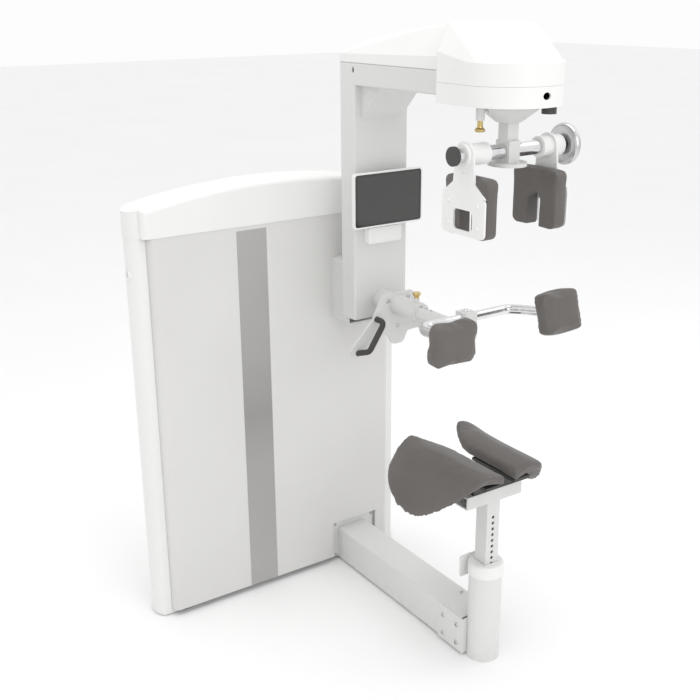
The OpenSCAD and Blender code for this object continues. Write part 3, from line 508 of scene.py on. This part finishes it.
@dataclass(frozen=True)
class DisplayGlass:
    """Dark display under glass: a rim band, a faint painted highlight in lighter patches, and a few smears."""

    name: str
    colour: Colour

    def make(self) -> bpy.types.Material:
        """Builds the material."""
        t = FinishTree(self.name)
        low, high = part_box("screen_glass")
        across = ((t.axis("Y") - (low.y + high.y) / 2) / ((high.y - low.y) / 2)) ** 2
        upward = ((t.axis("Z") - (low.z + high.z) / 2) / ((high.z - low.z) / 2)) ** 2
        rim = ((across > 0.86) + (upward > 0.82)).ramp(0.0, 1.0)
        smear = t.noise(40.0, 5.0, rough=0.7)
        # painted highlight: lighter patches on the dark glass, following the smear pattern
        painted_highlight = t.blend(smear.ramp(0.3, 0.8) * 0.35, self.colour, shade(self.colour, 1.25))
        tone = t.blend(rim, painted_highlight, shade(self.colour, 0.55))
        return t.set(base_color=tone, roughness=smear * 0.1 + 0.1, coat_weight=0.6, coat_roughness=0.06, specular_IOR_level=0.55)


@dataclass(frozen=True)
class TwoPart:
    """Two finishes on one piece, met where a coordinate passes a level."""

    name: str
    axis: str
    level: float
    below: Colour
    above: Colour
    metal_below: float = 0.0
    metal_above: float = 0.0
    rough_below: float = 0.35
    rough_above: float = 0.45

    def make(self) -> bpy.types.Material:
        """Builds the material."""
        t = FinishTree(self.name)
        up = t.axis(self.axis) > self.level
        smear = t.noise(24.0, 4.0, rough=0.6)
        grain = t.noise(900.0, 3.0)
        low = t.blend(smear, shade(self.below, 0.94), shade(self.below, 1.05))
        high = t.blend(smear, shade(self.above, 0.94), shade(self.above, 1.08))
        return t.set(
            base_color=t.blend(up, low, high),
            metallic=up * (self.metal_above - self.metal_below) + self.metal_below,
            roughness=up * (self.rough_above - self.rough_below) + (self.rough_below - 0.05) + smear * 0.12,
            normal=t.bump(grain, 0.15, 0.00006),
        )


class Finish(Enum):
    """Every finish on the station."""

    FRAME = PowderCoat("frame_coat", (0.66, 0.66, 0.652))
    # The beam coat carries painted shade towards the floor.
    BEAM = PowderCoat("beam_coat", (0.70, 0.70, 0.69), shade_near_floor=True)
    PANEL = PowderCoat("panel_coat", (0.66, 0.655, 0.64), rough=0.46)
    SHELL = MouldedShell("cover_shell", (0.80, 0.80, 0.79))
    STRIPE = BrushedFilm("stripe_film", (0.36, 0.355, 0.35))
    HIDE = Hide("pad_hide", (0.118, 0.108, 0.101))
    CHROME = BareMetal("tube_chrome", (0.78, 0.78, 0.79), 0.14, (3.0, 0.05, 3.0))
    STEEL = BareMetal("plated_steel", (0.62, 0.62, 0.63), 0.26)
    BRASS = BareMetal("knob_brass", (0.62, 0.47, 0.20), 0.24)
    RUBBER = Rubber("grip_rubber", (0.040, 0.038, 0.037))
    BELT = Rubber("belt_rubber", (0.018, 0.018, 0.018), 0.55, 90.0)
    DARK = MouldedShell("dark_moulding", (0.045, 0.044, 0.043), 0.42, 0.00008)
    IRON = CastIron("weight_iron", (0.05, 0.05, 0.053))
    GLASS = DisplayGlass("display_glass", (0.032, 0.031, 0.030))
    WHEEL = TwoPart("wheel_and_screw", "Y", 0.216, (0.6, 0.6, 0.61), (0.045, 0.044, 0.043), 1.0, 0.0, 0.25, 0.42)


class Wardrobe:
    """Makes each finish once and puts it on pieces."""

    def __init__(self) -> None:
        """Starts with nothing made."""
        self._made: Dict[Finish, bpy.types.Material] = {}

    def material(self, finish: Finish) -> bpy.types.Material:
        """The finish's material, made at its first use.

        Args:
            finish: The finish.

        Returns:
            Its material.
        """
        if finish not in self._made:
            self._made[finish] = finish.value.make()
        return self._made[finish]

    def dress(self, piece: bpy.types.Object, finish: Finish) -> None:
        """Gives every material slot of a piece one finish.

        Args:
            piece: The piece, whose mesh isn't changed.
            finish: The finish.
        """
        material = self.material(finish)
        if not piece.material_slots:
            piece.data.materials.append(material)
        for slot in piece.material_slots:
            slot.material = material

    def dress_nodes(self, names: str, finish: Finish) -> None:
        """Dresses several of the frame's nodes.

        Args:
            names: Node names, with spaces between.
            finish: The finish.
        """
        for name in names.split():
            self.dress(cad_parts[name], finish)
            LOG.info("dressed %s in %s", name, finish.name.lower())


# ------------------------------------------------------------------- mesh tools
def deselect() -> None:
    """Leaves object mode with nothing selected."""
    if bpy.context.object and bpy.context.object.mode != "OBJECT":
        bpy.ops.object.mode_set(mode="OBJECT")
    bpy.ops.object.select_all(action="DESELECT")


def activate(piece: bpy.types.Object) -> None:
    """Makes one object selected and active.

    Args:
        piece: The object.
    """
    deselect()
    piece.select_set(True)
    bpy.context.view_layer.objects.active = piece


def apply_modifier(piece: bpy.types.Object, kind: str, **settings: object) -> None:
    """Adds a modifier and applies it.

    Args:
        piece: The object.
        kind: The modifier's type.
        settings: Its settings.
    """
    activate(piece)
    modifier = piece.modifiers.new(kind.lower(), kind)
    for name, value in settings.items():
        setattr(modifier, name, value)
    bpy.ops.object.modifier_apply(modifier=modifier.name)


def settle(piece: bpy.types.Object, angle: float = 40.0) -> None:
    """Puts a piece's place into its mesh and smooths what is nearly flat.

    Args:
        piece: The object.
        angle: Edges sharper than this, in degrees, stay sharp.
    """
    activate(piece)
    bpy.ops.object.transform_apply(location=True, rotation=True, scale=True)
    bpy.ops.object.shade_smooth_by_angle(angle=math.radians(angle))


def copy_of_node(node: str, name: str) -> bpy.types.Object:
    """A merged copy of a frame node's mesh.

    Args:
        node: The node.
        name: The new piece's name.

    Returns:
        The copy.
    """
    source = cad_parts[node]
    piece = bpy.data.objects.new(name, source.data.copy())
    bpy.context.scene.collection.objects.link(piece)
    for key in [k for k in piece.keys() if k.startswith("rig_")]:
        del piece[key]
    activate(piece)
    bpy.ops.object.mode_set(mode="EDIT")
    bpy.ops.mesh.select_all(action="SELECT")
    bpy.ops.mesh.remove_doubles(threshold=0.00001)
    bpy.ops.mesh.customdata_custom_splitnormals_clear()
    bpy.ops.mesh.normals_make_consistent(inside=False)
    bpy.ops.object.mode_set(mode="OBJECT")
    return piece


# -------------------------------------------------------------------- upholstery
@dataclass
class PaddedPiece:
    """One stuffed piece, swelled from its solid by a short cloth simulation."""

    name: str
    node: str
    body: str
    fill: float = 0.9
    voxel: float = 0.005
    shrink: float = 0.002
    cap: float = 0.006
    rounding: int = 10
    pressure: float = 4.0
    frames: int = 20
    crown_axis: Optional[Point] = None

    def build(self, wardrobe: Wardrobe) -> bpy.types.Object:
        """Makes, swells, dresses and mounts the piece.

        Args:
            wardrobe: Where the finish comes from.

        Returns:
            The finished piece.
        """
        piece = copy_of_node(self.node, self.name)
        apply_modifier(piece, "REMESH", mode="VOXEL", voxel_size=self.voxel, use_smooth_shade=True)
        self._shrink(piece)
        self._swell(piece)
        self._round_edges(piece)
        apply_modifier(piece, "SUBSURF", levels=1, render_levels=1)
        settle(piece, 60.0)
        piece.data.materials.clear()
        wardrobe.dress(piece, Finish.HIDE)
        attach(piece, self.body)
        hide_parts(self.node)
        LOG.info("padded %s", self.name)
        return piece

    def _shrink(self, piece: bpy.types.Object) -> None:
        """Pulls the surface in, so that swelling brings it back to size.

        Args:
            piece: The remeshed piece.
        """
        apply_modifier(piece, "SMOOTH", factor=0.5, iterations=self.rounding)
        normals = [v.normal.copy() for v in piece.data.vertices]
        for vertex, normal in zip(piece.data.vertices, normals):
            vertex.co -= normal * self.shrink

    def _swell(self, piece: bpy.types.Object) -> None:
        """Runs Cloth with pressure and keeps each point within the cap.

        Args:
            piece: The piece, whose mesh takes the result.
        """
        before = [v.co.copy() for v in piece.data.vertices]
        activate(piece)
        cloth = piece.modifiers.new("cloth", "CLOTH")
        cloth.settings.use_pressure = True
        cloth.settings.uniform_pressure_force = self.pressure
        cloth.settings.effector_weights.gravity = 0.0
        cloth.settings.quality = 4
        scene = bpy.context.scene
        for moment in range(1, self.frames + 1):
            scene.frame_set(moment)
        evaluated = piece.evaluated_get(bpy.context.evaluated_depsgraph_get())
        after = [v.co.copy() for v in evaluated.data.vertices]
        piece.modifiers.remove(cloth)
        scene.frame_set(1)
        for vertex, old, new in zip(piece.data.vertices, before, after):
            step = new - old
            if step.length > self.cap:
                step = step.normalized() * self.cap
            vertex.co = old + step

    def _round_edges(self, piece: bpy.types.Object) -> None:
        """Evens the swelled skin.

        Args:
            piece: The piece.
        """
        apply_modifier(piece, "SMOOTH", factor=0.5, iterations=4)


# ---------------------------------------------------------------- sub-assemblies
@dataclass
class Tower:
    """Weight-stack tower: panels, covers, lid, stripe and the stack inside."""

    frame_parts: str = "tower_base uprights tower_top_beam"
    panels: str = "front_panel rear_panel"
    covers: str = "end_covers top_lid end_plug"
    iron_parts: str = "weight_plates weight_carriage"

    def dress(self, wardrobe: Wardrobe) -> None:
        """Puts finishes on the tower.

        Args:
            wardrobe: Where they come from.
        """
        wardrobe.dress_nodes(self.frame_parts, Finish.FRAME)
        wardrobe.dress_nodes(self.panels, Finish.PANEL)
        wardrobe.dress_nodes(self.covers, Finish.SHELL)
        wardrobe.dress_nodes(self.iron_parts, Finish.IRON)
        wardrobe.dress_nodes("accent_stripe", Finish.STRIPE)
        wardrobe.dress_nodes("guide_rods", Finish.CHROME)
        wardrobe.dress_nodes("levelling_feet tower_pulley", Finish.DARK)
        wardrobe.dress_nodes("drive_belt", Finish.BELT)


@dataclass
class BaseFrame:
    """Beam, pedestal and seat post."""

    coated: str = "beam pedestal_tube"
    post: str = "seat_column"

    def dress(self, wardrobe: Wardrobe) -> None:
        """Puts finishes on the base.

        Args:
            wardrobe: Where they come from.
        """
        wardrobe.dress_nodes(self.coated, Finish.BEAM)
        wardrobe.dress_nodes(self.post, Finish.FRAME)
        wardrobe.dress_nodes("pedestal_head", Finish.SHELL)
        SocketScrews("beam_bolts", "beam_socket_screws", "stand").build(wardrobe)
        wardrobe.dress_nodes("lock_pin", Finish.STEEL)
        wardrobe.dress_nodes("seat_pan", Finish.DARK)


@dataclass
class Saddle:
    """Two padded halves of the seat."""

    sides: Tuple[str, str] = ("left", "right")

    def build(self, wardrobe: Wardrobe) -> None:
        """Builds both halves.

        Args:
            wardrobe: Where the finish comes from.
        """
        for side in self.sides:
            PaddedPiece(f"saddle_{side}", f"seat_{side}", "seat", cap=0.005, shrink=0.0015, rounding=14, voxel=0.0045).build(wardrobe)


@dataclass
class Column:
    """Column, overhead arm, screen and reader."""

    coated: str = "column_mount main_column overhead_arm screen_bracket"
    covers: str = "arm_cover screen_case reader_box"

    def dress(self, wardrobe: Wardrobe) -> None:
        """Puts finishes on the column.

        Args:
            wardrobe: Where they come from.
        """
        wardrobe.dress_nodes(self.coated, Finish.FRAME)
        wardrobe.dress_nodes(self.covers, Finish.SHELL)
        wardrobe.dress_nodes("screen_glass", Finish.GLASS)


@dataclass
class SocketScrews:
    """Button-head screws with a hexagon socket, set where the frame has plain heads."""

    node: str
    name: str
    body: str
    socket_part: float = 0.5
    socket_depth: float = 0.55

    def build(self, wardrobe: Wardrobe) -> None:
        """Models one screw for each plain head and joins them into a piece.

        Args:
            wardrobe: Where the finish comes from.
        """
        piece = copy_of_node(self.node, self.name)
        screws = [self._screw(points) for points in self._heads(piece)]
        bpy.data.objects.remove(piece)
        activate(screws[0])
        for screw in screws:
            screw.select_set(True)
        bpy.ops.object.join()
        whole = bpy.context.object
        whole.name = self.name
        settle(whole, 35.0)
        wardrobe.dress(whole, Finish.STEEL)
        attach(whole, self.body)
        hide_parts(self.node)
        LOG.info("set %d socket screws for %s", len(screws), self.node)

    @staticmethod
    def _heads(piece: bpy.types.Object) -> List[List[Vector]]:
        """Sorts a mesh's points by loose part.

        Args:
            piece: The merged copy.

        Returns:
            The points of each part.
        """
        mesh = bmesh.new()
        mesh.from_mesh(piece.data)
        left, parts = set(mesh.verts), []
        while left:
            stack, part = [left.pop()], []
            while stack:
                vertex = stack.pop()
                part.append(vertex.co.copy())
                for edge in vertex.link_edges:
                    other = edge.other_vert(vertex)
                    if other in left:
                        left.remove(other)
                        stack.append(other)
            parts.append(part)
        mesh.free()
        return sorted(parts, key=lambda part: tuple(part[0]))

    def _screw(self, points: List[Vector]) -> bpy.types.Object:
        """Models one screw over the plain head's place.

        Args:
            points: The plain head's points.

        Returns:
            The screw.
        """
        low = Vector(min(p[i] for p in points) for i in range(3))
        high = Vector(max(p[i] for p in points) for i in range(3))
        size, middle = high - low, (low + high) / 2
        along = min(range(3), key=lambda i: size[i])
        radius = max(size) / 2
        broad = [p for p in points if (p - middle).cross(Vector([float(i == along) for i in range(3)])).length > 0.95 * radius]
        base = sum((p[along] for p in broad), 0.0) / max(len(broad), 1)
        outward = 1.0 if high[along] - base > base - low[along] else -1.0
        tall = (high[along] - base) if outward > 0 else (base - low[along])
        foot = middle.copy()
        foot[along] = base
        return self._head(foot, along, outward, radius, tall)

    def _head(self, foot: Vector, along: int, outward: float, radius: float, tall: float) -> bpy.types.Object:
        """Shapes a domed head with a hexagon socket.

        Args:
            foot: Middle of its seat.
            along: The axis that it points along.
            outward: Which way, 1 or -1.
            radius: The head's radius.
            tall: The head's height.

        Returns:
            The head.
        """
        deselect()
        bpy.ops.mesh.primitive_cylinder_add(vertices=24, radius=radius, depth=tall, location=(0.0, 0.0, tall / 2))
        head = bpy.context.object
        bpy.ops.object.mode_set(mode="EDIT")
        mesh = bmesh.from_edit_mesh(head.data)
        bpy.ops.mesh.select_all(action="DESELECT")
        for face in mesh.faces:
            face.select = face.normal.z > 0.9
        bmesh.update_edit_mesh(head.data)
        bpy.ops.mesh.bevel(offset=tall * 0.8, offset_type="OFFSET", segments=5, affect="EDGES")
        bpy.ops.object.mode_set(mode="OBJECT")
        deselect()
        bpy.ops.mesh.primitive_cylinder_add(vertices=6, radius=radius * self.socket_part, depth=tall, location=(0.0, 0.0, tall * (1.5 - self.socket_depth)))
        cutter = bpy.context.object
        apply_modifier(head, "BOOLEAN", operation="DIFFERENCE", object=cutter, solver="EXACT")
        bpy.data.objects.remove(cutter)
        aim = Vector([outward * float(i == along) for i in range(3)])
        head.rotation_mode = "QUATERNION"
        head.rotation_quaternion = aim.to_track_quat("Z", "Y")
        head.location = foot
        settle(head, 35.0)
        return head


@dataclass
class HeadDrum:
    """Drum housing, its turning hub and the cam inside."""

    shell_parts: str = "drum_ring drum_cover"
    coated: str = "drum_floor turning_hub hanger_post"

    def dress(self, wardrobe: Wardrobe) -> None:
        """Puts finishes on the drum.

        Args:
            wardrobe: Where they come from.
        """
        wardrobe.dress_nodes(self.shell_parts, Finish.SHELL)
        wardrobe.dress_nodes(self.coated, Finish.FRAME)
        wardrobe.dress_nodes("drum_fittings", Finish.DARK)
        wardrobe.dress_nodes("cam_pulley", Finish.DARK)
        wardrobe.dress_nodes("plunger_knob", Finish.BRASS)


@dataclass
class HeadClamp:
    """Cross tube, handwheel, clamp arms and the two ear pads."""

    sides: Tuple[str, str] = ("left", "right")

    def dress(self, wardrobe: Wardrobe) -> None:
        """Puts finishes on the clamp.

        Args:
            wardrobe: Where they come from.
        """
        wardrobe.dress_nodes("cross_tube", Finish.CHROME)
        wardrobe.dress_nodes("tube_caps", Finish.DARK)
        wardrobe.dress_nodes("wheel_and_screw", Finish.WHEEL)
        wardrobe.dress_nodes("clamp_arm_left clamp_arm_right", Finish.SHELL)

    def build(self, wardrobe: Wardrobe) -> None:
        """Builds the ear pads.

        Args:
            wardrobe: Where the finish comes from.
        """
        for side in self.sides:
            PaddedPiece(f"ear_pad_{side}", f"head_pad_{side}", f"{side}_clamp", cap=0.003, shrink=0.002, rounding=6, voxel=0.004).build(wardrobe)


@dataclass
class ChestSupport:
    """Chest bar on its sliding tube, grab handles and the two chest pads."""

    sides: Tuple[str, str] = ("left", "right")

    def dress(self, wardrobe: Wardrobe) -> None:
        """Puts finishes on the support.

        Args:
            wardrobe: Where they come from.
        """
        wardrobe.dress_nodes("chest_mount chest_slide yoke_left yoke_right handle_plate", Finish.FRAME)
        wardrobe.dress_nodes("chest_crossbar", Finish.CHROME)
        SocketScrews("plate_bolts", "plate_socket_screws", "stand").build(wardrobe)
        wardrobe.dress_nodes("grip_left grip_right", Finish.RUBBER)
        wardrobe.dress_nodes("chest_knob", Finish.BRASS)

    def build(self, wardrobe: Wardrobe) -> None:
        """Builds the chest pads.

        Args:
            wardrobe: Where the finish comes from.
        """
        for side in self.sides:
            PaddedPiece(f"chest_cushion_{side}", f"chest_pad_{side}", f"{side}_chest_pad", cap=0.006, shrink=0.003, rounding=8).build(wardrobe)


# ------------------------------------------------------------------------ studio
@dataclass
class Studio:
    """Pale floor, soft lamps and the camera."""

    eye: Point = (2.126087, -1.920991, 2.020)
    yaw: float = 0.5876671
    pitch: float = 0.3333586
    roll: float = -0.0077630
    lens: float = 53.10
    lamps: List[Tuple[Point, float, float]] = field(
        default_factory=lambda: [
            ((3.4, -0.6, 2.6), 2.2, 26.0),
            ((0.6, 3.0, 3.6), 2.4, 12.0),
            ((-0.3, -0.3, 4.6), 2.6, 36.0),
        ]
    )

    def build(self, centre: Vector) -> None:
        """Builds the floor, lamps, sky and camera.

        Args:
            centre: Where the lamps point.
        """
        self._floor()
        self._sky()
        for index, (place, size, power) in enumerate(self.lamps):
            self._lamp(index, Vector(place), size, power, centre)
        self._camera()
        view = bpy.context.scene.view_settings
        view.view_transform, view.look = "Standard", "None"

    def _floor(self) -> None:
        """Lays a wide pale floor with a faint mottle."""
        deselect()
        bpy.ops.mesh.primitive_plane_add(size=60.0, location=(0.0, 0.0, CAD_BOX[0].z - 0.0005))
        floor = bpy.context.object
        floor.name = "studio_floor"
        settle(floor)
        t = FinishTree("floor_paint")
        tone = t.blend(t.noise(0.8, 3.0), (0.90, 0.90, 0.90), (0.94, 0.94, 0.94))
        floor.data.materials.append(t.set(base_color=tone, roughness=0.85, specular_IOR_level=0.1))

    def _sky(self) -> None:
        """Sets an even white sky."""
        world = bpy.data.worlds.new("studio_sky")
        world.use_nodes = True
        background = next(n for n in world.node_tree.nodes if n.type == "BACKGROUND")
        background.inputs["Color"].default_value = (1.0, 1.0, 1.0, 1.0)
        background.inputs["Strength"].default_value = 0.98
        bpy.context.scene.world = world

    def _lamp(self, index: int, place: Vector, size: float, power: float, centre: Vector) -> None:
        """Hangs one soft square lamp.

        Args:
            index: Its number.
            place: Where it hangs.
            size: Its side.
            power: Its power in watts.
            centre: What it points at.
        """
        data = bpy.data.lights.new(f"softbox_{index}", "AREA")
        data.size, data.energy = size, power
        lamp = bpy.data.objects.new(f"softbox_{index}", data)
        bpy.context.scene.collection.objects.link(lamp)
        lamp.location = place
        lamp.rotation_mode = "QUATERNION"
        lamp.rotation_quaternion = (centre - place).to_track_quat("-Z", "Y")

    def _camera(self) -> None:
        """Places the camera."""
        data = bpy.data.cameras.new("view_camera")
        data.sensor_width, data.lens = 36.0, self.lens
        camera = bpy.data.objects.new("view_camera", data)
        bpy.context.scene.collection.objects.link(camera)
        ahead = Vector((-math.cos(self.yaw) * math.cos(self.pitch), math.sin(self.yaw) * math.cos(self.pitch), -math.sin(self.pitch)))
        right = ahead.cross(Vector((0, 0, 1))).normalized()
        up = right.cross(ahead)
        turned_right = right * math.cos(self.roll) + up * math.sin(self.roll)
        turned_up = up * math.cos(self.roll) - right * math.sin(self.roll)
        frame_matrix = Matrix((turned_right, turned_up, -ahead)).transposed().to_4x4()
        frame_matrix.translation = Vector(self.eye)
        camera.matrix_world = frame_matrix
        bpy.context.scene.camera = camera


def main() -> None:
    """Builds the station in order."""
    logging.basicConfig(level=logging.INFO, format="%(name)s: %(message)s")
    wardrobe = Wardrobe()
    Tower().dress(wardrobe)
    BaseFrame().dress(wardrobe)
    Column().dress(wardrobe)
    HeadDrum().dress(wardrobe)
    clamp, chest = HeadClamp(), ChestSupport()
    clamp.dress(wardrobe)
    chest.dress(wardrobe)
    clamp.build(wardrobe)
    chest.build(wardrobe)
    Saddle().build(wardrobe)
    Studio().build((CAD_BOX[0] + CAD_BOX[1]) / 2)


if __name__ == "__main__":
    main()
